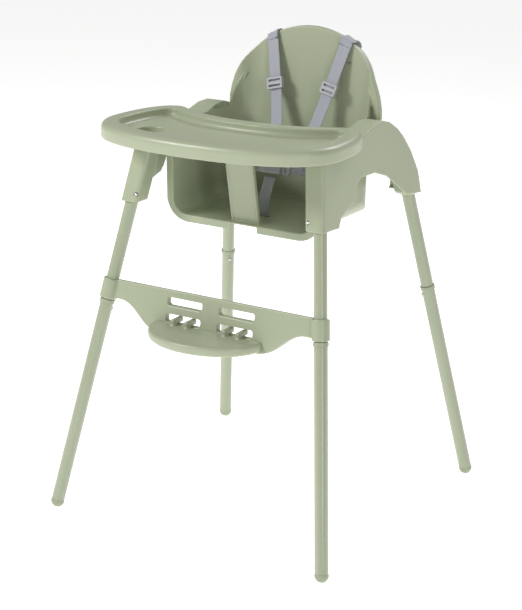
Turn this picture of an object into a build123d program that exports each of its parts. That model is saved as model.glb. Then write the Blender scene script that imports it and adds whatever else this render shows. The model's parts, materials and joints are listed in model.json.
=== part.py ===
"""Baby high chair: a moulded seat shell on four two-piece tube legs, with a tray, a footrest and a harness.

Millimetres. +Z is up, the chair faces -Y, x = 0 is its plane of symmetry, and the origin is on the floor under
the middle of its footprint. Left and right are the seated child's, so the left side is +X.
"""

import os
from math import atan2, degrees, sqrt

from build123d import *

# ---- legs: foot positions on the +X side, and what x and y gain for each millimetre of height ----
LEG_FOOT = {"front": (300.0, -290.0), "rear": (295.0, 290.0)}
LEG_RAKE = {"front": (-0.1587, 0.2383), "rear": (-0.153, -0.1887)}
SIDES = {"left": 1, "right": -1}
LOWER_R, LOWER_WALL = 12.6, 1.2
UPPER_R, UPPER_WALL = 12.2, 1.0
SWAGE_R = 11.3  # narrowed end of the upper tube, inside the lower one
FOOT_R = 13.0
CAP_HEIGHT = 14.0  # along the leg, from the floor to the end of the tube
JOINT_Z = 405.0  # top edge of the lower tube
SWAGE_LENGTH = 62.0
RING_HEIGHT = 7.0
RING_R = 14.2
LEG_TOP_Z = {"front": 690.0, "rear": 664.0}  # end of the leg inside its socket
SOCKET_Z = 595.0

# ---- spring clips that lock the tubes ----
JOINT_CLIP_Z = 390.0
SOCKET_CLIP_Z = 609.0
CLIP_BUTTON_R = 3.5
CLIP_HOLE_R = 3.9
JOINT_CLIP_REACH = 15.4  # button tip from the leg's axis
SOCKET_CLIP_REACH = 26.5
CLIP_STRIP = (7.0, 0.8)  # width and thickness of the spring strip

# ---- seat shell ----
WALL = 3.5
LEG_TO_PANEL = 16.0  # leg axis to the outer face of the side panel
COLUMN_IN = 23.0  # leg axis to the inner face of a front column
COLUMN_FRONT = 18.0  # leg axis to the column's front face
BASIN_HALF = 154.0  # inner half width of the seat
BASIN_FLOOR = 564.0  # upper face of the seat
BASIN_CORNER = 32.0
BASIN_FRONT = -85.0
LIP = 15.0  # width of the rolled lip round the front and the backrest
BACK_CORNER = 50.0
BACK_Y, BACK_Z, BACK_LEAN = 142.0, 740.0, 0.065  # inner face of the backrest at BACK_Z, and its lean
DOME_A, DOME_B, DOME_Z = 168.0, 160.0, 738.0  # outline of the backrest: an ellipse
RIM_DEPTH = 13.0
ARM_Z = 731.0
POST_TOP = 714.0
POST_HALF, POST_DEPTH = 30.0, 9.0
POST_FOOT_Y, POST_LEAN = -77.0, 0.173  # front face at the seat's floor, and its lean to the front
SIDE_OUTLINE = [  # side panel seen from the side: (y, z), from the middle of the front column, anticlockwise
    (-148, 595), (-110, 593), (-97, 610), (-66, 621), (-46, 627), (-37, 639), (-31, 656), (-12, 664),
    (35, 663), (77, 649), (145, 600), (199, 594), (197, 635), (178, 678), (158, 706), (138, 726),
    (112, 742), (88, 749), (60, 748), (28, 739), (4, ARM_Z), (-116, ARM_Z),
]  # fmt: skip

# ---- footrest ----
BAR_TOP, BAR_BELLY, BAR_END = 447.0, 363.0, 411.0
BAR_THICK = 12.0
BAR_FRONT = 4.0  # leg axis to the bar's front face
COLLAR_R, COLLAR_LOW, COLLAR_HIGH = 16.5, 409.0, 446.0
WINDOW_X, WINDOW_H = (19.0, 95.0), 15.0
WINDOW_LOW = (388.5, 418.5)
PLATE_HALF, PLATE_REACH = 119.0, 88.0
PLATE_TOP, PLATE_EDGE = 388.0, 20.0
TAB_X, TAB_W = (42.0, 72.0), 9.0

# ---- tray ----
TRAY_TOP, TRAY_FLOOR, TRAY_SKIRT = 754.0, 738.0, 725.0
TRAY_WALL = 3.0
TRAY_HALF, TRAY_MID_Y, TRAY_FRONT_Y, TRAY_BACK_Y = 247.0, -150.0, -276.0, -58.0
TRAY_OVAL = 0.65  # handle length of the front's curves: more than a plain ellipse, so fuller at the corners
LOBE = (182.0, -10.0)
CROWN = 12.0  # rounding of the rim's outer top edge
RIM_WIDTH = 34.0
CUP_CENTRE, CUP_R, CUP_DEPTH = (-150.0, -163.0), 27.0, 14.0

# ---- harness ----
WEB_W, WEB_T = 25.0, 1.8
ADJUSTER = (33.0, 22.0, 7.0)
BUCKLE, BUCKLE_TILT = (0.0, 18.0, 655.0), -20.0
CROTCH_SLOT_Y = -15.0
STRAP_TOP_X = 84.0  # where a shoulder strap crosses the backrest's rim
ANCHOR = (88.0, 153.6, 836.0)
SCREW_R = 2.0


# ------------------------------------------------------------------ helpers
def block(x, y, z):
    """Box from its x, y and z limits."""
    size = [b - a for a, b in (x, y, z)]
    centre = [(a + b) / 2 for a, b in (x, y, z)]
    return Pos(*centre) * Box(*size)


def prism_x(points, x0, x1):
    """A (y, z) outline run from x0 to x1."""
    face = Plane.YZ.offset(x0) * make_face(Polyline(*points, close=True))
    return extrude(face, x1 - x0)


def prism_y(face, y0, y1):
    """A sketch drawn as (x, z), run from y0 to y1."""
    plane = Plane(origin=(0, y0, 0), x_dir=(1, 0, 0), z_dir=(0, -1, 0))
    return extrude(plane * face, y0 - y1)


def mirrored(shape):
    return mirror(shape, about=Plane.YZ)


def pair(shape):
    """A shape and its mirror image."""
    return [shape, mirrored(shape)]


def fuse(*shapes):
    result = shapes[0]
    for shape in shapes[1:]:
        result = result + shape
    return result


# ------------------------------------------------------------------ legs
def leg_point(end, side, z):
    (fx, fy), (rx, ry) = LEG_FOOT[end], LEG_RAKE[end]
    return Vector(side * (fx + rx * z), fy + ry * z, z)


def leg_direction(end, side):
    rx, ry = LEG_RAKE[end]
    return Vector(side * rx, ry, 1).normalized()


def leg_frame(end, side, z, toward):
    """Plane on the leg's axis at height z: its z runs up the leg, its x as near as can be to toward."""
    up = leg_direction(end, side)
    across = Vector(*toward)
    across = (across - up * across.dot(up)).normalized()
    return Plane(origin=leg_point(end, side, z), x_dir=across, z_dir=up)


def along(end, z0, z1):
    """Length of leg between two heights."""
    rx, ry = LEG_RAKE[end]
    return (z1 - z0) * sqrt(1 + rx * rx + ry * ry)


def inward(end, side):
    """Level direction from a leg's foot towards the chair's middle."""
    return (-side, 1 if end == "front" else -1, 0)


def outward_in_socket(end, side):
    """Level direction of the socket's release button: to the middle, and out of the front or rear face."""
    return (-side, -1 if end == "front" else 1, 0)


def turned(points):
    """Solid of revolution about z from (radius, height) points."""
    return revolve(Plane.XZ * make_face(Polyline(*points, close=True)), Axis.Z)


def tube(radius, wall, s0, s1):
    return turned([(radius - wall, s0), (radius, s0), (radius, s1), (radius - wall, s1)])


def clip_hole(reach):
    return Rot(0, 90, 0) * Cylinder(CLIP_HOLE_R, reach, align=(Align.CENTER, Align.CENTER, Align.MIN))


def upper_leg(end, side):
    """Tube from the socket down to the joint, where it narrows to enter the lower tube."""
    frame = leg_frame(end, side, JOINT_Z, inward(end, side))
    top = along(end, JOINT_Z, LEG_TOP_Z[end])
    neck = RING_HEIGHT - 2
    body = turned([
        (SWAGE_R - UPPER_WALL, -SWAGE_LENGTH), (SWAGE_R, -SWAGE_LENGTH), (SWAGE_R, 0.4), (UPPER_R, neck - 2.6),
        (UPPER_R, top), (UPPER_R - UPPER_WALL, top), (UPPER_R - UPPER_WALL, neck), (SWAGE_R - UPPER_WALL, 0.4),
    ])  # fmt: skip
    body = frame * body
    low = leg_frame(end, side, JOINT_CLIP_Z, inward(end, side)) * clip_hole(UPPER_R + 4)
    high = leg_frame(end, side, SOCKET_CLIP_Z, outward_in_socket(end, side)) * clip_hole(UPPER_R + 4)
    return body - low - high


def lower_leg(end, side):
    frame = leg_frame(end, side, 0, inward(end, side))
    body = frame * tube(LOWER_R, LOWER_WALL, CAP_HEIGHT, along(end, 0, JOINT_Z))
    hole = leg_frame(end, side, JOINT_CLIP_Z, inward(end, side)) * clip_hole(LOWER_R + 4)
    return body - hole


def foot_cap(end, side):
    """Rounded plug in the end of the leg, with a small flat on the floor."""
    spigot_r = LOWER_R - LOWER_WALL - 0.05
    plug = Pos(0, 0, CAP_HEIGHT - 2) * Sphere(FOOT_R)
    plug = plug & Cylinder(FOOT_R + 1, CAP_HEIGHT + 2, align=(Align.CENTER, Align.CENTER, Align.MAX)).moved(
        Location((0, 0, CAP_HEIGHT))
    )
    spigot = Pos(0, 0, CAP_HEIGHT - 1) * Cylinder(spigot_r, 25, align=(Align.CENTER, Align.CENTER, Align.MIN))
    cap = leg_frame(end, side, 0, inward(end, side)) * (plug + spigot)
    return cap - block((-400, 400), (-400, 400), (-40, 0))


def leg_ring(end, side):
    """Plastic ring over the top edge of the lower tube."""
    base = along(end, JOINT_Z, JOINT_Z) - RING_HEIGHT + 2
    ring = turned([
        (LOWER_R + 0.05, base), (RING_R, base), (RING_R, 1.4), (RING_R - 0.6, 2.0), (UPPER_R + 0.05, 2.0),
        (UPPER_R + 0.05, 0.1), (LOWER_R + 0.05, 0.1),
    ])  # fmt: skip
    return leg_frame(end, side, JOINT_Z, inward(end, side)) * ring


def spring_clip(reach):
    """V-shaped spring strip inside the tube, with the button riveted to its outer arm; local x is outwards."""
    width, thick = CLIP_STRIP
    path = FilletPolyline((8.0, 0, 6), (7.4, 0, -22), (1.0, 0, -29), (-5.2, 0, -4), radius=3.0)
    start = Plane(origin=path @ 0, x_dir=(0, 1, 0), z_dir=path % 0)
    strip = sweep(start * Rectangle(width, thick), path)
    stem = Cylinder(CLIP_BUTTON_R, reach - 2.0 - 7.6, align=(Align.CENTER, Align.CENTER, Align.MIN))
    dome_h = 2.0
    dome_r = (CLIP_BUTTON_R**2 + dome_h**2) / (2 * dome_h)
    dome = Pos(0, 0, reach - 7.6 - dome_r) * Sphere(dome_r)
    dome = dome & Pos(0, 0, reach - 2.0 - 7.6) * Cylinder(
        CLIP_BUTTON_R, dome_h + 1, align=(Align.CENTER, Align.CENTER, Align.MIN)
    )
    button = Pos(7.6, 0, 0) * Rot(0, 90, 0) * (stem + dome)
    return strip + button


def joint_clip(end, side):
    return leg_frame(end, side, JOINT_CLIP_Z, inward(end, side)) * spring_clip(JOINT_CLIP_REACH)


def socket_clip(end, side):
    return leg_frame(end, side, SOCKET_CLIP_Z, outward_in_socket(end, side)) * spring_clip(SOCKET_CLIP_REACH)


# ------------------------------------------------------------------ seat shell
def plan(half, back, front, corner):
    """Plan of the seat: straight sides, round rear corners. Drawn at BACK_Z."""
    low = front - 40
    face = Pos(0, (back + low) / 2) * Rectangle(2 * half, back - low)
    return fillet(face.vertices().group_by(Axis.Y)[-1], corner)


def leaning(face, z0, z1):
    """A plan drawn for BACK_Z, run from z0 to z1 along the lean of the backrest."""
    start = Pos(0, BACK_LEAN * (z0 - BACK_Z), z0) * face
    return extrude(start, sqrt(1 + BACK_LEAN**2) * (z1 - z0), dir=(0, BACK_LEAN, 1))


def bowl(half, floor, corner, y0, y1):
    """Front view of the seat: a box with round lower corners."""
    face = Pos(0, (floor + 960) / 2) * Rectangle(2 * half, 960 - floor)
    face = fillet(face.vertices().group_by(Axis.Y)[0], corner)
    return prism_y(face, y0, y1)


def dome(inset):
    """Everything inside the outline of the backrest, and everything below the outline's widest point."""
    top = Pos(0, DOME_Z) * Ellipse(DOME_A - inset, DOME_B - inset)
    top = top + Pos(0, DOME_Z - 150) * Rectangle(500, 300)
    return prism_y(top, -261, 261)


def tub_plan(grow):
    """Plan of the seat's inner face, or of a face grown outwards from it."""
    return plan(BASIN_HALF + grow, BACK_Y + grow, BASIN_FRONT, BACK_CORNER + grow)


def rim_plan(depth):
    """Plan of the backrest's rim: along the wall in the middle, and swept straight out at each side."""
    sweep_angle, sweep_r = 40, 30.0

    def side_line(grow):
        straight = Line((0, BACK_Y + grow), (BASIN_HALF - BACK_CORNER, BACK_Y + grow))
        corner = JernArc(straight @ 1, (1, 0), BACK_CORNER + grow, -sweep_angle)
        outward = JernArc(corner @ 1, corner % 1, sweep_r - grow, sweep_angle)
        end = outward @ 1
        return [straight, corner, outward, Line(end, (DOME_A + 2, end.Y))]

    inner, outer = side_line(0), side_line(depth)
    closing = [Line(inner[0] @ 0, outer[0] @ 0), Line(inner[-1] @ 1, outer[-1] @ 1)]
    half = Face(Wire([*inner, *outer, *closing]))
    return half + mirrored(half)


def seat_tub():
    """Seat, its side walls and the backrest in one wall thickness, with the rolled lip."""
    low = BASIN_FLOOR - 30
    inner = leaning(tub_plan(0), low, 960) & bowl(BASIN_HALF + 0.1, BASIN_FLOOR, BASIN_CORNER, -200, 262)
    outer = leaning(tub_plan(WALL), low, 960) & bowl(
        BASIN_HALF + WALL + 0.1, BASIN_FLOOR - WALL, BASIN_CORNER + WALL, BASIN_FRONT, 263
    )
    tub = (outer - inner) & dome(LIP)
    tub = tub - block((-300, 300), (-300, 100), (ARM_Z + 8, 960)) - block((-300, 300), (-299, 4), (ARM_Z, 961))
    # rolled rim: the wall turns outwards to the outline, then back
    rear_only = block((-300, 300), (92, 259), (ARM_Z + 7, 950))
    face = leaning(rim_plan(WALL), 700, 960) & (dome(0) - dome(LIP + 1))
    edge = leaning(rim_plan(RIM_DEPTH), 700, 960) & (dome(0) - dome(WALL))
    rim = (face + edge) & rear_only
    # front lip round the seat's opening
    lip = bowl(BASIN_HALF + LIP, BASIN_FLOOR - LIP + 1, BASIN_CORNER + LIP, BASIN_FRONT - WALL, BASIN_FRONT + 0.5)
    lip = lip - bowl(BASIN_HALF, BASIN_FLOOR, BASIN_CORNER, -200, 200)
    lip = lip & block((-300, 300), (-190, 0), (500, ARM_Z - 1))
    return fuse(tub, rim, lip)


def within_panel(extra):
    """Everything inboard of the side panel's outer face, less extra."""
    (fx, _), (rx, _) = LEG_FOOT["front"], LEG_RAKE["front"]
    low, high = 560, 780
    x_low, x_high = (fx + rx * z + LEG_TO_PANEL - extra for z in (low, high))
    face = make_face(Polyline((100, low), (x_low, low), (x_high, high), (100, high), close=True))
    return prism_y(face, -260, 260)


def side_slab(points, shrink, x0, x1, drop=0.0):
    """The side outline, shrunk by a wall and lowered by drop, run from x0 to x1."""
    face = make_face(Polyline(*points, close=True))
    if shrink:
        face = offset(face, -shrink)
    return extrude(Plane.YZ.offset(x0) * (Pos(0, -drop) * face), x1 - x0)


def arm_side():
    """Left armrest and side panel: a box open underneath and towards the seat."""
    solid = side_slab(SIDE_OUTLINE, 0, BASIN_HALF + 0.5, 260) & within_panel(0)
    hollow = side_slab(SIDE_OUTLINE, WALL, BASIN_HALF - 20, 259) & within_panel(WALL)
    under = side_slab(SIDE_OUTLINE, WALL, BASIN_HALF - 21, 258, drop=14)
    under = under & within_panel(WALL) & block((0, 300), (-165, 190), (560, 700))
    (fx, _), (rx, _) = LEG_FOOT["front"], LEG_RAKE["front"]
    x_low, x_high = (fx + rx * z - COLUMN_IN for z in (560, 780))
    inboard = make_face(Polyline((100, 560), (x_low, 560), (x_high, 780), (100, 780), close=True))
    return solid - hollow - under - prism_y(inboard, -260, BASIN_FRONT - 8) + column_wall()


def socket_prism(end, x_in, x_out, y_front, y_back, z0, z1, corner):
    """Prism with a level rectangular section that follows a left leg."""
    start = leg_point(end, 1, z0)
    width, depth = x_in + x_out, y_front + y_back
    face = RectangleRounded(width, depth, corner) if corner else Rectangle(width, depth)
    face = Pos(start.X + (x_out - x_in) / 2, start.Y + (y_back - y_front) / 2, z0) * face
    rx, ry = LEG_RAKE[end]
    return extrude(face, along(end, z0, z1), dir=(rx, ry, 1))


def column_wall():
    """Front column: front and inner wall of the box round the left front leg."""
    outer = socket_prism("front", COLUMN_IN, LEG_TO_PANEL, COLUMN_FRONT, 22, SOCKET_Z, ARM_Z, 8)
    return outer - socket_prism(
        "front", COLUMN_IN - WALL, LEG_TO_PANEL - WALL, COLUMN_FRONT - WALL, 22 - WALL, SOCKET_Z - 5, ARM_Z - 3, 5
    )


def rear_socket_wall():
    """Rear socket: the box round the left rear leg."""
    outer = socket_prism("rear", 20, LEG_TO_PANEL, 19, 19, SOCKET_Z, 704, 5)
    inner = socket_prism("rear", 20 - WALL, LEG_TO_PANEL - WALL, 19 - WALL, 19 - WALL, SOCKET_Z - 5, 700, 2)
    return (outer - inner) & side_slab(SIDE_OUTLINE, 0, 100, 261)


def leg_sleeve(end):
    """Round sleeve that the left leg pushes into, tied to the walls by a plate at its foot."""
    frame = leg_frame(end, 1, SOCKET_Z, (1, 0, 0))
    length = along(end, SOCKET_Z, LEG_TOP_Z[end]) + 4
    return frame * Cylinder(UPPER_R + 2.2, length, align=(Align.CENTER, Align.CENTER, Align.MIN))


def leg_bore(end):
    """What the leg and its clip take out of the shell."""
    frame = leg_frame(end, 1, SOCKET_Z, (1, 0, 0))
    length = along(end, SOCKET_Z, LEG_TOP_Z[end]) + 0.2
    bore = Pos(0, 0, -20) * Cylinder(UPPER_R + 0.15, length + 20, align=(Align.CENTER, Align.CENTER, Align.MIN))
    hole = leg_frame(end, 1, SOCKET_CLIP_Z, outward_in_socket(end, 1)) * clip_hole(40)
    return frame * bore + hole


def socket_floor(end):
    """Plate across the foot of a socket, round the sleeve."""
    back, front = (21, 17) if end == "front" else (16, 16)
    inner = (COLUMN_IN if end == "front" else 20) - 1
    return socket_prism(end, inner, LEG_TO_PANEL - 1, front, back, SOCKET_Z, SOCKET_Z + 4, 4)


def crotch_post():
    """Thin post between the child's legs: a plate between two upright flanges."""

    def layer(half, front, back):
        rise = POST_TOP - BASIN_FLOOR + 1
        foot, head = POST_FOOT_Y, POST_FOOT_Y - POST_LEAN * rise
        low = BASIN_FLOOR - 1
        outline = [(foot + front, low), (head + front, POST_TOP), (head + back, POST_TOP), (foot + back, low)]
        return prism_x(outline, -half, half)

    flange, set_back = 4.0, 3.0
    inside = POST_HALF - flange
    post = layer(POST_HALF, 0, POST_DEPTH) - layer(inside, -1, set_back)
    return post - (layer(inside, set_back + WALL, POST_DEPTH + 1) & block((-50, 50), (-200, 0), (570, 800)))


def centre_recess():
    """The seat's lip is cut back under the post."""
    return block((-33, 33), (BASIN_FRONT - 10, BASIN_FRONT + 1), (500, BASIN_FLOOR - WALL + 1))


def strap_slots():
    crotch = block((-14.5, 14.5), (CROTCH_SLOT_Y - 3, CROTCH_SLOT_Y + 3), (BASIN_FLOOR - 12, BASIN_FLOOR + 6))
    waist = [Pos(side * 123, 122, 640) * Box(16, 50, 30) for side in (1, -1)]
    screws = [anchor_frame(side) * Rot(90, 0, 0) * Cylinder(SCREW_R + 0.1, 30) for side in (1, -1)]
    return [crotch, *waist, *screws]


def seat_shell():
    half = arm_side() + rear_socket_wall()
    half = half & within_panel(0)
    for end in ("front", "rear"):
        half = half + leg_sleeve(end) + socket_floor(end)
    half = half & (within_panel(0) + block((0, 300), (-300, 300), (700, 800)))
    shell = seat_tub()
    for part in pair(half):
        shell = shell + part
    shell = shell - bowl(BASIN_HALF, BASIN_FLOOR, BASIN_CORNER, BASIN_FRONT - 1, 92)
    shell = shell + crotch_post() - centre_recess()
    for cut in pair(leg_bore("front") + leg_bore("rear")):
        shell = shell - cut
    for cut in strap_slots():
        shell = shell - cut
    return shell


# ------------------------------------------------------------------ footrest
def bar_plane_y(z):
    return LEG_FOOT["front"][1] + LEG_RAKE["front"][1] * z


def footrest_bar():
    """Crossbar with a collar on each front leg and two rows of windows for the foot plate."""
    half = LEG_FOOT["front"][0] + LEG_RAKE["front"][0] * (BAR_TOP - 18)
    right = [
        Line((half, BAR_TOP), (half, BAR_END)),
        Line((half, BAR_END), (half - 26, BAR_END)),
        Bezier((half - 26, BAR_END), (163, BAR_END), (152, BAR_BELLY), (105, BAR_BELLY)),
    ]
    lines = right + [mirror(edge, about=Plane.YZ) for edge in right]
    lines += [Line((105, BAR_BELLY), (-105, BAR_BELLY)), Line((half, BAR_TOP), (-half, BAR_TOP))]
    face = make_face(Curve() + lines)
    rake = LEG_RAKE["front"][1]
    front = bar_plane_y(BAR_TOP) - BAR_FRONT
    lean = degrees(atan2(rake, 1))
    slab = Pos(0, 0, -BAR_TOP) * prism_y(face, 0, BAR_THICK)
    slab = Pos(0, front, BAR_TOP) * Rot(-lean, 0, 0) * slab
    bar = slab
    for side in SIDES.values():
        frame = leg_frame("front", side, COLLAR_LOW, (1, 0, 0))
        height = along("front", COLLAR_LOW, COLLAR_HIGH)
        bar = bar + frame * Cylinder(COLLAR_R, height, align=(Align.CENTER, Align.CENTER, Align.MIN))
    for side in SIDES.values():
        frame = leg_frame("front", side, COLLAR_LOW, (1, 0, 0))
        bar = bar - frame * Cylinder(UPPER_R + 0.15, 200)
        for z in WINDOW_LOW:
            x = sorted(side * v for v in WINDOW_X)
            window = block(x, (-260, -120), (z, z + WINDOW_H))
            bar = bar - fillet(window.edges().filter_by(Axis.Y), 4)
    return bar


def half_oval(y, shrink, z0, z1):
    """Foot plate's outline, shrunk all round, run from z0 to z1."""
    face = Pos(0, y, z0) * Ellipse(PLATE_HALF - shrink, PLATE_REACH - shrink)
    return extrude(face, z1 - z0)


def foot_plate():
    """Half-oval plate with a deep rounded edge, and hooks that enter the lower windows."""
    rake = LEG_RAKE["front"][1]
    y_bar = bar_plane_y(PLATE_TOP) - BAR_FRONT - 0.4
    low = PLATE_TOP - PLATE_EDGE
    solid = half_oval(y_bar, 0, low, PLATE_TOP)
    solid = fillet(solid.edges().group_by(Axis.Z)[0], 9)
    solid = fillet(solid.edges().group_by(Axis.Z)[-1], 6)
    back_wall = block((-100, 100), (y_bar - 16, y_bar - 6), (low + 4, PLATE_TOP - 2))
    plate = solid - half_oval(y_bar, 5, low - 1, PLATE_TOP - 4) + (back_wall & half_oval(y_bar, 3, low, PLATE_TOP))
    for x in (side * x for side in SIDES.values() for x in TAB_X):
        sides = (x - TAB_W / 2, x + TAB_W / 2)
        plate = plate + block(sides, (y_bar - 12, y_bar + 19), (PLATE_TOP + 1.2, PLATE_TOP + 11))
        plate = plate + block(sides, (y_bar - 12, y_bar - 5), (PLATE_TOP - 3, PLATE_TOP + 2))
    behind = prism_x([
        (y_bar - rake * 40, PLATE_TOP - 40), (y_bar, PLATE_TOP), (y_bar, PLATE_TOP + 0.6),
        (0, PLATE_TOP + 0.6), (0, PLATE_TOP - 40),
    ], -200, 200)  # fmt: skip
    return plate - behind


# ------------------------------------------------------------------ tray
def tray_outline(inset):
    """Kidney outline: an oval front, and a rear edge that curves round the child between two lobes."""
    lobe_x, lobe_y = LOBE[0], LOBE[1] - inset
    half, back, front = TRAY_HALF - inset, TRAY_BACK_Y - inset, TRAY_FRONT_Y + inset
    reach = TRAY_MID_Y - front
    left = [
        [(0, front), (TRAY_OVAL * half, front), (half, TRAY_MID_Y - TRAY_OVAL * reach), (half, TRAY_MID_Y)],
        [(half, TRAY_MID_Y), (half, TRAY_MID_Y + 62), (lobe_x + 50 - inset, lobe_y), (lobe_x, lobe_y)],
        [(lobe_x, lobe_y), (lobe_x - 20, lobe_y), (136, back), (0, back)],
    ]
    return Face(Wire([Bezier(*[(side * x, y) for x, y in curve]) for side in SIDES.values() for curve in left]))


def tray_layer(inset, z0, z1):
    return extrude(Pos(0, 0, z0) * tray_outline(inset), z1 - z0)


def tray():
    """Oval tray with a hollow raised rim, a deep skirt, a cup recess and notches that clear the armrests."""
    body = tray_layer(0, TRAY_SKIRT, TRAY_TOP)
    body = fillet(body.edges().group_by(Axis.Z)[-1], CROWN)
    under_floor = TRAY_FLOOR - TRAY_WALL
    well = tray_layer(RIM_WIDTH, TRAY_FLOOR, TRAY_TOP + 5)
    body = body - fillet(well.edges().group_by(Axis.Z)[0], 8)
    body = body - tray_layer(TRAY_WALL, TRAY_SKIRT - 1, under_floor)
    ring = tray_layer(CROWN, under_floor - 1, TRAY_TOP - TRAY_WALL)
    body = body - (ring - tray_layer(RIM_WIDTH - TRAY_WALL, under_floor - 2, TRAY_TOP))
    cup = Pos(*CUP_CENTRE, TRAY_FLOOR - CUP_DEPTH - TRAY_WALL) * Cylinder(
        CUP_R + TRAY_WALL, CUP_DEPTH + TRAY_WALL, align=(Align.CENTER, Align.CENTER, Align.MIN)
    )
    hole = Pos(*CUP_CENTRE, TRAY_FLOOR - CUP_DEPTH) * Cylinder(
        CUP_R, CUP_DEPTH + 5, align=(Align.CENTER, Align.CENTER, Align.MIN)
    )
    body = body + cup - hole
    for side in SIDES.values():
        body = body - block(sorted((side * 146, side * 214)), (-75, 20), (TRAY_SKIRT - 1, under_floor))
    return body


# ------------------------------------------------------------------ harness
def webbing(points, width, thick, across=(1, 0, 0)):
    """Flat strap through points; across is the direction of its width, one for all points or one for each."""
    points = [Vector(*p) for p in points]
    directions = across if isinstance(across, list) else [across] * len(points)
    rings = []
    for i, point in enumerate(points):
        before, after = points[max(i - 1, 0)], points[min(i + 1, len(points) - 1)]
        a = (point - before).normalized() if i else (after - point).normalized()
        b = (after - point).normalized() if i < len(points) - 1 else a
        run = (a + b).normalized()
        flat = Vector(*directions[i])
        flat = (flat - run * flat.dot(run)).normalized() * (width / 2)
        proud = run.cross(flat).normalized() * (thick / 2 / max(run.dot(a), 0.5))
        rings.append([point - flat - proud, point + flat - proud, point + flat + proud, point - flat + proud])
    faces = [triangle(*rings[0][:3]), triangle(rings[0][0], *rings[0][2:])]
    faces += [triangle(*rings[-1][:3]), triangle(rings[-1][0], *rings[-1][2:])]
    for low, high in zip(rings, rings[1:]):
        for i in range(4):
            j = (i + 1) % 4
            faces += [triangle(low[i], low[j], high[j]), triangle(low[i], high[j], high[i])]
    return Part() + Solid(Shell(faces))


def triangle(*corners):
    return Face(Wire.make_polygon(corners, close=True))


def dome_top(x):
    """Height of the backrest's outline at x, and its slope there."""
    root = sqrt(1 - (x / DOME_A) ** 2)
    return DOME_Z + DOME_B * root, -DOME_B * x / DOME_A**2 / root


def shoulder_route():
    """Middle line of the left shoulder strap, from the buckle up the backrest and over its rim to the anchor."""
    top, _ = dome_top(STRAP_TOP_X)
    x = STRAP_TOP_X
    return [
        (33, 27, 676), (37, 60, 696), (43, 100, 720), (77, 142, 856), (81, 144.5, top - 8), (x - 2, 148, top + 2.8),
        (x, 157, top + 3.2), (x + 1, 167, top + 2.4), (x + 3, 171, top - 6), (x + 4, 168, top - 14),
        (ANCHOR[0], 154.3, 851), (ANCHOR[0], 153.2, 828),
    ]  # fmt: skip


def on_side(shape, side):
    """A left-hand shape, or its mirror image for the right."""
    return shape if side == SIDES["left"] else mirrored(shape)


def shoulder_strap(side):
    _, slope = dome_top(STRAP_TOP_X)
    across = [(1, 0, 0)] * 3 + [(1, 0, slope / 2)] + [(1, 0, slope)] * 6 + [(1, 0, 0)] * 2
    strap = webbing(shoulder_route(), WEB_W, WEB_T, across)
    return on_side(strap - anchor_frame(1) * Rot(90, 0, 0) * Cylinder(SCREW_R + 0.3, 20), side)


def adjuster_frame():
    """Plane on the left strap where its adjuster sits; z runs up the strap."""
    low, high = (Vector(*shoulder_route()[i]) for i in (2, 3))
    run = (high - low).normalized()
    flat = Vector(1, 0, 0)
    flat = (flat - run * flat.dot(run)).normalized()
    return Plane(origin=low + (high - low) * 0.5, x_dir=flat, z_dir=run)


def shoulder_adjuster(side):
    """Slider round the strap, with two windows in its front face and a bar between them."""
    width, height, depth = ADJUSTER
    body = fillet(Box(width, depth, height).edges().filter_by(Axis.Y), 2.5)
    body = body - Box(WEB_W + 1.2, WEB_T + 1.4, height + 2)
    for z in (-5.2, 5.2):
        body = body - Pos(0, -depth / 2, z) * Box(WEB_W + 0.6, depth, 4.2)
    return on_side(adjuster_frame() * body, side)


def waist_strap(side):
    x, y, z = BUCKLE
    route = [(x + 42, y + 1, z), (66, y + 12, z - 4), (98, 78, 645), (121, 116, 640), (124, 138, 640)]
    return on_side(webbing(route, WEB_W, WEB_T, across=(0, 0, 1)), side)


def crotch_strap():
    y = CROTCH_SLOT_Y
    return webbing([(0, y, BASIN_FLOOR - 4), (0, y, 574), (0, y + 8, 602), (0, y + 25, 634)], WEB_W, WEB_T)


def crotch_retainer():
    """Bar under the seat that keeps the crotch strap from pulling through its slot."""
    bar = Pos(0, CROTCH_SLOT_Y, BASIN_FLOOR - WALL - 3.6) * Box(38, 12, 5.6)
    return fillet(bar.edges().filter_by(Axis.Z), 4)


def waist_retainer(side):
    """Bar behind the backrest that keeps a waist strap from pulling through its slot."""
    return Pos(side * 124, 141.6, 640) * Box(12, 6, 38)


def buckle_frame():
    return Pos(*BUCKLE) * Rot(BUCKLE_TILT, 0, 0)


def buckle_body():
    body = fillet(Box(46, 16, 34).edges(), 3.5)
    body = body - Box(60, 6, 20) - Pos(0, -8, 2) * Box(17, 11, 15)
    return buckle_frame() * body


def buckle_button():
    cap = fillet(Box(16, 4, 14).edges().group_by(Axis.Y)[0], 1.2)
    return buckle_frame() * Pos(0, -7.2, 2) * cap


def buckle_tongue(side):
    """Flat tongue in the buckle's side, ending in an eye that takes the waist and shoulder straps."""
    blade = Pos(side * 15, 0, 0) * Box(26, 4, 16)
    eye = Pos(side * 32, 0, 0) * fillet(Box(17, 5, 32).edges().filter_by(Axis.Y), 3)
    eye = eye - Pos(side * 33, 0, 0) * Box(7, 10, 26)
    return buckle_frame() * (blade + eye)


def anchor_frame(side):
    x, y, z = ANCHOR
    return Pos(side * x, y, z)


def shoulder_anchor(side):
    """Plate that clamps the strap's end to the rear of the backrest."""
    plate = fillet(Box(34, 3, 16).edges().filter_by(Axis.Y), 4)
    plate = plate - Rot(90, 0, 0) * Cylinder(SCREW_R + 0.2, 20)
    return anchor_frame(side) * (Pos(0, 3.4, 0) * plate)


def anchor_screws():
    shank = Pos(0, -1, 0) * Rot(90, 0, 0) * Cylinder(SCREW_R, 12)
    head = Pos(0, 6.1, 0) * Rot(90, 0, 0) * Cylinder(3.8, 2.2)
    return Compound(children=[anchor_frame(side) * (shank + head) for side in SIDES.values()])


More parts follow.
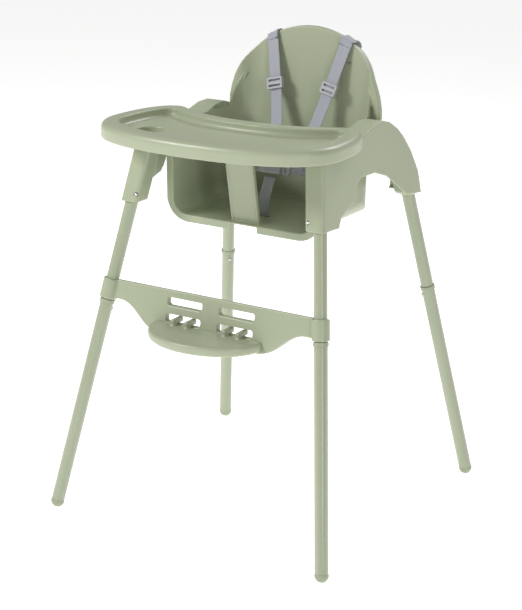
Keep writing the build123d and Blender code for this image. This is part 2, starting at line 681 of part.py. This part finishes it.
# ------------------------------------------------------------------ all nodes
def nodes():
    for end in LEG_FOOT:
        for name, side in SIDES.items():
            corner = f"{end}_{name}"
            yield f"upper_leg_{corner}", upper_leg(end, side)
            yield f"lower_leg_{corner}", lower_leg(end, side)
            yield f"foot_cap_{corner}", foot_cap(end, side)
            yield f"leg_ring_{corner}", leg_ring(end, side)
            yield f"joint_clip_{corner}", joint_clip(end, side)
            yield f"socket_clip_{corner}", socket_clip(end, side)
    for name, side in SIDES.items():
        yield f"shoulder_strap_{name}", shoulder_strap(side)
        yield f"shoulder_adjuster_{name}", shoulder_adjuster(side)
        yield f"shoulder_anchor_{name}", shoulder_anchor(side)
        yield f"waist_strap_{name}", waist_strap(side)
        yield f"waist_retainer_{name}", waist_retainer(side)
        yield f"buckle_tongue_{name}", buckle_tongue(side)
    yield "crotch_strap", crotch_strap()
    yield "crotch_retainer", crotch_retainer()
    yield "buckle_body", buckle_body()
    yield "buckle_button", buckle_button()
    yield "anchor_screws", anchor_screws()
    yield "seat_shell", seat_shell()
    yield "footrest_bar", footrest_bar()
    yield "foot_plate", foot_plate()
    yield "tray", tray()


os.makedirs("parts", exist_ok=True)
for node, shape in nodes():
    export_step(shape, f"parts/{node}.step")
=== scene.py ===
"""Looks of the baby high chair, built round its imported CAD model.

Metres in Blender. Routes of the straps and the web beside the backrest are in millimetres.
"""

import json
from math import cos, pi, radians, sin, sqrt

import bpy
import numpy as np
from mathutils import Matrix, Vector


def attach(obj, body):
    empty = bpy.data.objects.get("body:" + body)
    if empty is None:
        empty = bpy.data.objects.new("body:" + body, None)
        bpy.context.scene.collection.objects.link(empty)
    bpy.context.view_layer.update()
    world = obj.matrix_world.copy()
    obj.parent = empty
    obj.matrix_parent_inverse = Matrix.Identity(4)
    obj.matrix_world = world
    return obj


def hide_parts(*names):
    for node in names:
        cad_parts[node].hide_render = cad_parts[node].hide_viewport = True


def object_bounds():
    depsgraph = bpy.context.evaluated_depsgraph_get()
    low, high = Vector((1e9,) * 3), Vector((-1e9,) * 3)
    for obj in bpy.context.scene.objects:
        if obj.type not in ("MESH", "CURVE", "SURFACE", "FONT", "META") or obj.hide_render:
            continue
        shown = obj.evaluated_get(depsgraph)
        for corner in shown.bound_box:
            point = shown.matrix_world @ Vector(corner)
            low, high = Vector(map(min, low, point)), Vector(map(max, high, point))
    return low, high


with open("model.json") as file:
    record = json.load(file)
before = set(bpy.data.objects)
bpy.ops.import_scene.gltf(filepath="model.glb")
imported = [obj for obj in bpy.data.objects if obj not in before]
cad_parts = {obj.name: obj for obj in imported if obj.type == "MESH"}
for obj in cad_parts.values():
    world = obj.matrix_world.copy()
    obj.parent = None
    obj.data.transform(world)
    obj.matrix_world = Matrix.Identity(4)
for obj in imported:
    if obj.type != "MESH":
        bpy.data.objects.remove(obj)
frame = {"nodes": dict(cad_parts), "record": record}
cad_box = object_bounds()

MM = 0.001

# ---- camera, as a place round the chair ----
CAMERA_AZIMUTH, CAMERA_ELEVATION, CAMERA_DISTANCE = 32.8307, 17.8416, 3.3559
CAMERA_TARGET_RIGHT, CAMERA_TARGET_Z = -0.0119, 0.3828
LENS, SENSOR = 103.19, 36.0


# ---- light ----
WORLD_LIGHT, FLOOR_GLOW = 0.30, 0.62

# ---- colours ----
SAGE = (0.385, 0.425, 0.295, 1)
SAGE_PAINT = (0.375, 0.412, 0.290, 1)
WEB_COLOUR = (0.415, 0.43, 0.475, 1)
TRIM_COLOUR = (0.40, 0.41, 0.44, 1)

# ---- moulded pieces: name, size of the even mesh, how far the corners relax ----
MOULDED = (
    ("seat_shell", 0.0014, 3),
    ("tray", 0.0018, 8),
    ("footrest_bar", 0.0013, 5),
    ("foot_plate", 0.0013, 5),
)

# ---- backrest, millimetres ----
SIDES = {"left": 1, "right": -1}
DOME_A, DOME_B, DOME_Z = 168.0, 160.0, 738.0  # its outline is an ellipse
BACK_LEAN, BACK_Z = 0.065, 740.0
CORNER_X, CORNER_Y, CORNER_R = 104, 92, 50  # rounding between the backrest and the seat's side
WEB_LOW, WEB_HIGH, WING_Y = 736.0, 800.0, 125.5  # rolled web beside it: its heights, and the rim's face
WEB_ROWS, WEB_COLUMNS = 40, 14
WEB_THICK = 2.4
WEB_INNER, WEB_OUTER = 24, 1.5  # how far the web's two edges lie inside the outline

# ---- straps: millimetres, and radians to the metre for the weave ----
STRAP_TOP_X = 84.0  # where a shoulder strap crosses the backrest's rim
STRAP_W, STRAP_T = 25.0, 1.8
GROOVE = 0.35  # depth of the worn middle, as a part of the thickness
STRAP_COLUMNS, STRAP_STEPS = 21, 8
YARN_RATE = 2 * pi / 0.0022
RIB_RATE = 2 * pi / 0.0016


# ------------------------------------------------------------------ camera and light
def make_camera():
    a, e = radians(CAMERA_AZIMUTH), radians(CAMERA_ELEVATION)
    back = Vector((sin(a) * cos(e), -cos(a) * cos(e), sin(e)))
    right = Vector((cos(a), sin(a), 0))
    data = bpy.data.cameras.new("camera")
    data.lens, data.sensor_width = LENS, SENSOR
    camera = bpy.data.objects.new("camera", data)
    camera.location = right * CAMERA_TARGET_RIGHT + Vector((0, 0, CAMERA_TARGET_Z)) + back * CAMERA_DISTANCE
    camera.rotation_euler = (-back).to_track_quat("-Z", "Y").to_euler()
    data.clip_end = 60
    bpy.context.scene.collection.objects.link(camera)
    bpy.context.scene.camera = camera


def area_light(name, place, target, size, power, colour=(1, 1, 1)):
    data = bpy.data.lights.new(name, "AREA")
    data.shape = "RECTANGLE"
    data.size, data.size_y = size
    data.energy = power
    data.color = colour
    light = bpy.data.objects.new(name, data)
    light.location = place
    light.rotation_euler = (Vector(target) - Vector(place)).to_track_quat("-Z", "Y").to_euler()
    bpy.context.scene.collection.objects.link(light)


def make_light():
    world = bpy.data.worlds.new("studio")
    bpy.context.scene.world = world
    world.use_nodes = True
    background = world.node_tree.nodes["Background"]
    background.inputs["Color"].default_value = (1, 1, 1, 1)
    background.inputs["Strength"].default_value = WORLD_LIGHT
    middle = (0, 0, 0.5)
    area_light("key", (-1.9, -2.3, 2.7), middle, (0.9, 0.9), 74)
    area_light("strip", (2.2, -1.6, 1.3), middle, (0.25, 2.2), 15)
    area_light("back", (0.4, 1.9, 2.6), middle, (1.4, 1.0), 34)
    bpy.context.scene.view_settings.view_transform = "Standard"


def make_floor():
    bpy.ops.mesh.primitive_plane_add(size=40, location=(0, 0, cad_box[0].z))
    floor = bpy.context.object
    floor.name = "floor"
    material = new_material("floor_white")
    shader = material.node_tree.nodes["Principled BSDF"]
    shader.inputs["Base Color"].default_value = (0.93, 0.93, 0.92, 1)
    shader.inputs["Roughness"].default_value = 0.9
    shader.inputs["Emission Color"].default_value = (1, 1, 1, 1)
    shader.inputs["Emission Strength"].default_value = FLOOR_GLOW
    floor.data.materials.append(material)


# ------------------------------------------------------------------ materials
def new_material(name):
    material = bpy.data.materials.new(name)
    material.use_nodes = True
    return material


class Nodes:
    """Short way to write a node tree."""

    def __init__(self, name, **constants):
        self.material = new_material(name)
        self.tree = self.material.node_tree
        self.shader = self.tree.nodes["Principled BSDF"]
        for socket, value in constants.items():
            self.shader.inputs[socket.replace("_", " ")].default_value = value

    def add(self, kind, inputs=None, **settings):
        """New node, with its inputs given by name or index as values or as other nodes' outputs."""
        node = self.tree.nodes.new("ShaderNode" + kind)
        for key, value in settings.items():
            setattr(node, key, value)
        for key, value in (inputs or {}).items():
            if isinstance(value, bpy.types.NodeSocket):
                self.tree.links.new(value, node.inputs[key])
            else:
                node.inputs[key].default_value = value
        return node

    def to_shader(self, socket, output):
        self.tree.links.new(output, self.shader.inputs[socket])

    def place(self, layer="Object"):
        return self.add("TexCoord").outputs[layer]

    def noise(self, place, scale, detail=4.0):
        return self.add("TexNoise", {"Vector": place, "Scale": scale, "Detail": detail}).outputs["Fac"]

    def spread(self, value, low, high, from_low=0.3, from_high=0.7):
        inputs = {"Value": value, "From Min": from_low, "From Max": from_high, "To Min": low, "To Max": high}
        return self.add("MapRange", inputs).outputs["Result"]

    def mixed(self, factor, a, b):
        """Colour between a and b; a colour Mix node has its colours at inputs 6 and 7, and at output 2."""
        return self.add("Mix", {0: factor, 6: a, 7: b}, data_type="RGBA").outputs[2]

    def maths(self, operation, a, b=0.0):
        return self.add("Math", {0: a, 1: b}, operation=operation).outputs[0]

    def bump(self, height, strength, distance):
        inputs = {"Height": height, "Strength": strength, "Distance": distance}
        self.to_shader("Normal", self.add("Bump", inputs).outputs["Normal"])


def shade(colour, factor):
    return tuple(c * factor for c in colour[:3]) + (1,)


def moulded_plastic(name, colour, rough=(0.30, 0.42), grain=0.10, grain_scale=1400.0):
    """Satin moulding: slow drift of colour and gloss, fine grain, a few faint rub marks."""
    n = Nodes(name, Specular_IOR_Level=0.5, Coat_Weight=0.06, Coat_Roughness=0.25)
    place = n.place()
    drift = n.noise(place, 3.0, 3.0)
    colour_out = n.mixed(n.spread(drift, 0, 1), shade(colour, 0.965), shade(colour, 1.03))
    marks = n.spread(n.noise(place, 38.0, 8.0), 0, 1, 0.60, 0.78)
    n.to_shader("Base Color", n.mixed(n.maths("MULTIPLY", marks, 0.25), colour_out, shade(colour, 1.12)))
    gloss = n.spread(n.noise(place, 9.0, 6.0), rough[0], rough[1])
    n.to_shader("Roughness", n.maths("ADD", gloss, n.maths("MULTIPLY", marks, 0.05)))
    n.bump(n.noise(place, grain_scale, 2.0), grain, 0.0002)
    return n.material


def powder_coat(name, colour):
    """Gloss paint on tube: orange peel, and a slightly uneven gloss."""
    n = Nodes(name, Specular_IOR_Level=0.5, Coat_Weight=0.35, Coat_Roughness=0.10)
    place = n.place()
    drift = n.spread(n.noise(place, 5.0), 0, 1)
    n.to_shader("Base Color", n.mixed(drift, shade(colour, 0.97), shade(colour, 1.03)))
    n.to_shader("Roughness", n.spread(n.noise(place, 16.0, 5.0), 0.17, 0.27))
    n.bump(n.noise(place, 420.0, 2.0), 0.06, 0.0003)
    return n.material


def metal(name, colour, rough=(0.22, 0.42)):
    """Rolled or zinc-plated steel with fine scratches."""
    n = Nodes(name, Metallic=1.0)
    place = n.place()
    n.to_shader("Base Color", n.mixed(n.noise(place, 60.0), shade(colour, 0.88), colour))
    n.to_shader("Roughness", n.spread(n.noise(place, 240.0, 6.0), rough[0], rough[1]))
    n.bump(n.noise(place, 900.0, 3.0), 0.1, 0.0001)
    return n.material


def woven_webbing(name, colour):
    """Polypropylene webbing: cross ribs and lengthwise yarns from the strap's own coordinates, in metres,
    with painted shade in the weave's hollows.
    """
    n = Nodes(name, Sheen_Weight=0.25, Sheen_Roughness=0.45, Specular_IOR_Level=0.35)
    layer = n.add("SeparateXYZ", {"Vector": n.place("UV")})
    across, along = layer.outputs["X"], layer.outputs["Y"]
    yarn = n.maths("SINE", n.maths("MULTIPLY", across, YARN_RATE))
    rib = n.maths("SINE", n.maths("MULTIPLY", along, RIB_RATE))
    weave = n.maths("MULTIPLY", yarn, rib)
    ridge = n.maths("MULTIPLY", n.maths("ABSOLUTE", yarn), 0.5)
    height = n.maths("ADD", n.maths("MULTIPLY", weave, 0.5), ridge)
    fuzz = n.noise(n.place(), 2600.0, 3.0)
    height = n.maths("ADD", height, n.maths("MULTIPLY", fuzz, 0.5))
    # painted shade: the weave's low places darker and its raised yarns lighter, with random fibre fuzz mixed
    # in
    weave_shade = n.mixed(n.spread(height, 0, 1, -0.2, 1.0), shade(colour, 0.78), shade(colour, 1.06))
    worn = n.spread(n.noise(n.place(), 26.0, 4.0), 0, 1)
    n.to_shader("Base Color", n.mixed(n.maths("MULTIPLY", worn, 0.35), weave_shade, shade(colour, 0.93)))
    n.to_shader("Roughness", n.spread(fuzz, 0.62, 0.82))
    n.bump(height, 0.45, 0.0005)
    return n.material


# ------------------------------------------------------------------ moulded pieces
def soften(node, voxel, rounds):
    """Round the edges of a moulded piece: an even mesh, then a light relaxing of its corners."""
    remesh = node.modifiers.new("even", "REMESH")
    remesh.mode = "VOXEL"
    remesh.voxel_size = voxel
    remesh.use_smooth_shade = True
    smooth = node.modifiers.new("round", "SMOOTH")
    smooth.factor = 0.5
    smooth.iterations = rounds


def rim_web(side_name, side):
    """Rolled web that carries the backrest's wall out to its rim beside the seat. Millimetres."""
    front, vertices, faces = [], [], []
    turns = np.linspace(0, pi / 2, WEB_COLUMNS)
    for z in np.linspace(WEB_LOW, WEB_HIGH, WEB_ROWS):
        edge = sqrt(1 - (max(z - DOME_Z, 0) / DOME_B) ** 2) * DOME_A
        lean = BACK_LEAN * (z - BACK_Z)
        x0, x1 = edge - WEB_INNER, edge - WEB_OUTER
        y0 = CORNER_Y + sqrt(max(CORNER_R**2 - (x0 - CORNER_X) ** 2, 0)) + lean
        y1 = WING_Y + lean
        front.append([(x0 + (x1 - x0) * (1 - cos(t)), y0 + (y1 - y0) * sin(t), z) for t in turns])
    steps = WEB_COLUMNS
    for row in front:
        vertices += [Vector((side * x, y, z)) * MM for x, y, z in row]
    for i in range(len(front) - 1):
        for k in range(steps - 1):
            a = i * steps + k
            faces.append((a, a + 1, a + 1 + steps, a + steps)[::side])
    mesh = bpy.data.meshes.new("rim_web")
    mesh.from_pydata(vertices, [], faces)
    mesh.polygons.foreach_set("use_smooth", [True] * len(faces))
    mesh.materials.append(LOOKS["sage_plastic"])
    web = bpy.data.objects.new(f"rim_web_{side_name}", mesh)
    bpy.context.scene.collection.objects.link(web)
    thick = web.modifiers.new("thick", "SOLIDIFY")
    thick.thickness = WEB_THICK * MM
    thick.offset = -1
    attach(web, "frame")


# ------------------------------------------------------------------ webbing
def spline(points, steps):
    """Smooth curve through the points, steps samples from each to the next."""
    points = [Vector(p) for p in points]
    ends = [points[0] * 2 - points[1], *points, points[-1] * 2 - points[-2]]
    out = []
    for a, b, c, d in zip(ends, ends[1:], ends[2:], ends[3:]):
        for i in range(steps):
            t = i / steps
            square = 2 * a - 5 * b + 4 * c - d
            cube = 3 * b - a - 3 * c + d
            out.append(0.5 * (2 * b + (c - a) * t + square * t**2 + cube * t**3))
    return out + [points[-1]]


def strap_section():
    """Places across the webbing as parts of its width, and its thickness there as a part of the full one."""
    places = np.linspace(-0.5, 0.5, STRAP_COLUMNS)
    edge = np.clip((0.5 - np.abs(places)) / 0.05, 0, 1)
    groove = 1 - GROOVE * np.exp(-((places / 0.045) ** 2))
    return places, np.sqrt(1 - (1 - edge) ** 2) * groove


def webbing(name, route, across, node):
    """Flat strap along a route, with the direction of its width given at each point. Millimetres."""
    line = spline(route, STRAP_STEPS)
    widths = spline(across, STRAP_STEPS)
    places, halves = strap_section()
    vertices, faces, uvs = [], [], []
    ring = 2 * len(places)
    run = 0.0
    for i, point in enumerate(line):
        before, after = line[max(i - 1, 0)], line[min(i + 1, len(line) - 1)]
        run += (point - before).length
        ahead = (after - before).normalized()
        flat = (widths[i] - ahead * widths[i].dot(ahead)).normalized()
        proud = ahead.cross(flat)
        for sign, order in ((1, range(len(places))), (-1, reversed(range(len(places))))):
            for k in order:
                offset = flat * (places[k] * STRAP_W) + proud * (sign * halves[k] * STRAP_T / 2)
                vertices.append((point + offset) * MM)
                uvs.append((places[k] * STRAP_W * MM, run * MM))
    for i in range(len(line) - 1):
        for k in range(ring):
            a, b = i * ring + k, i * ring + (k + 1) % ring
            faces.append((a, b, b + ring, a + ring))
    faces += [tuple(reversed(range(ring))), tuple(range(len(vertices) - ring, len(vertices)))]
    mesh = bpy.data.meshes.new(name)
    mesh.from_pydata(vertices, [], faces)
    layer = mesh.uv_layers.new(name="strap")
    for loop in mesh.loops:
        layer.data[loop.index].uv = uvs[loop.vertex_index]
    mesh.polygons.foreach_set("use_smooth", [len(p.vertices) == 4 for p in mesh.polygons])
    mesh.materials.append(LOOKS["webbing"])
    strap = bpy.data.objects.new(name, mesh)
    bpy.context.scene.collection.objects.link(strap)
    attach(strap, "frame")
    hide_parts(node)


def make_straps():
    """The harness's five straps, along the same routes as the plain ones that they replace."""
    x = STRAP_TOP_X
    root = sqrt(1 - (x / DOME_A) ** 2)
    top = DOME_Z + DOME_B * root
    slope = -DOME_B * x / DOME_A**2 / root
    shoulder = [
        (33, 27, 676), (37, 60, 696), (43, 100, 720), (77, 142, 856), (81, 144.5, top - 8),
        (x - 2, 148, top + 2.8), (x, 157, top + 3.2), (x + 1, 167, top + 2.4), (x + 3, 171, top - 6),
        (x + 4, 168, top - 14), (88, 154.3, 851), (88, 153.2, 828),
    ]  # fmt: skip
    level = (1, 0, 0)
    tilted = (1, 0, slope)
    across = [level] * 3 + [(1, 0, slope / 2)] + [tilted] * 6 + [level] * 2
    for name, side in SIDES.items():
        route = [(side * a, b, c) for a, b, c in shoulder]
        turns = [(a, b, side * c) for a, b, c in across]
        webbing(f"shoulder_webbing_{name}", route, turns, f"shoulder_strap_{name}")
        waist = [(42, 19, 655), (66, 30, 651), (98, 78, 645), (121, 116, 640), (124, 138, 640)]
        route = [(side * a, b, c) for a, b, c in waist]
        webbing(f"waist_webbing_{name}", route, [(0, 0, 1)] * len(route), f"waist_strap_{name}")
    crotch = [(0, -15, 560), (0, -15, 574), (0, -7, 602), (0, 10, 634)]
    webbing("crotch_webbing", crotch, [level] * len(crotch), "crotch_strap")


make_camera()
make_light()
make_floor()
LOOKS = {
    "sage_plastic": moulded_plastic("sage_plastic", SAGE),
    "sage_paint": powder_coat("sage_paint", SAGE_PAINT),
    "collar_plastic": moulded_plastic("collar_plastic", shade(SAGE, 0.97), rough=(0.26, 0.36)),
    "foot_plastic": moulded_plastic("foot_plastic", shade(SAGE, 0.88), rough=(0.42, 0.56), grain=0.2),
    "spring_steel": metal("spring_steel", (0.66, 0.66, 0.62, 1)),
    "screw_steel": metal("screw_steel", (0.72, 0.73, 0.74, 1)),
    "webbing": woven_webbing("webbing", WEB_COLOUR),
    "harness_plastic": moulded_plastic("harness_plastic", TRIM_COLOUR, rough=(0.24, 0.36), grain=0.06),
}
for part in frame["record"]["subparts"]:
    node = frame["nodes"][part["node"]]
    node.data.materials.clear()
    node.data.materials.append(LOOKS[part["material_slot"]])
for name, voxel, rounds in MOULDED:
    soften(frame["nodes"][name], voxel, rounds)
make_straps()
for side_name, side in SIDES.items():
    rim_web(side_name, side)
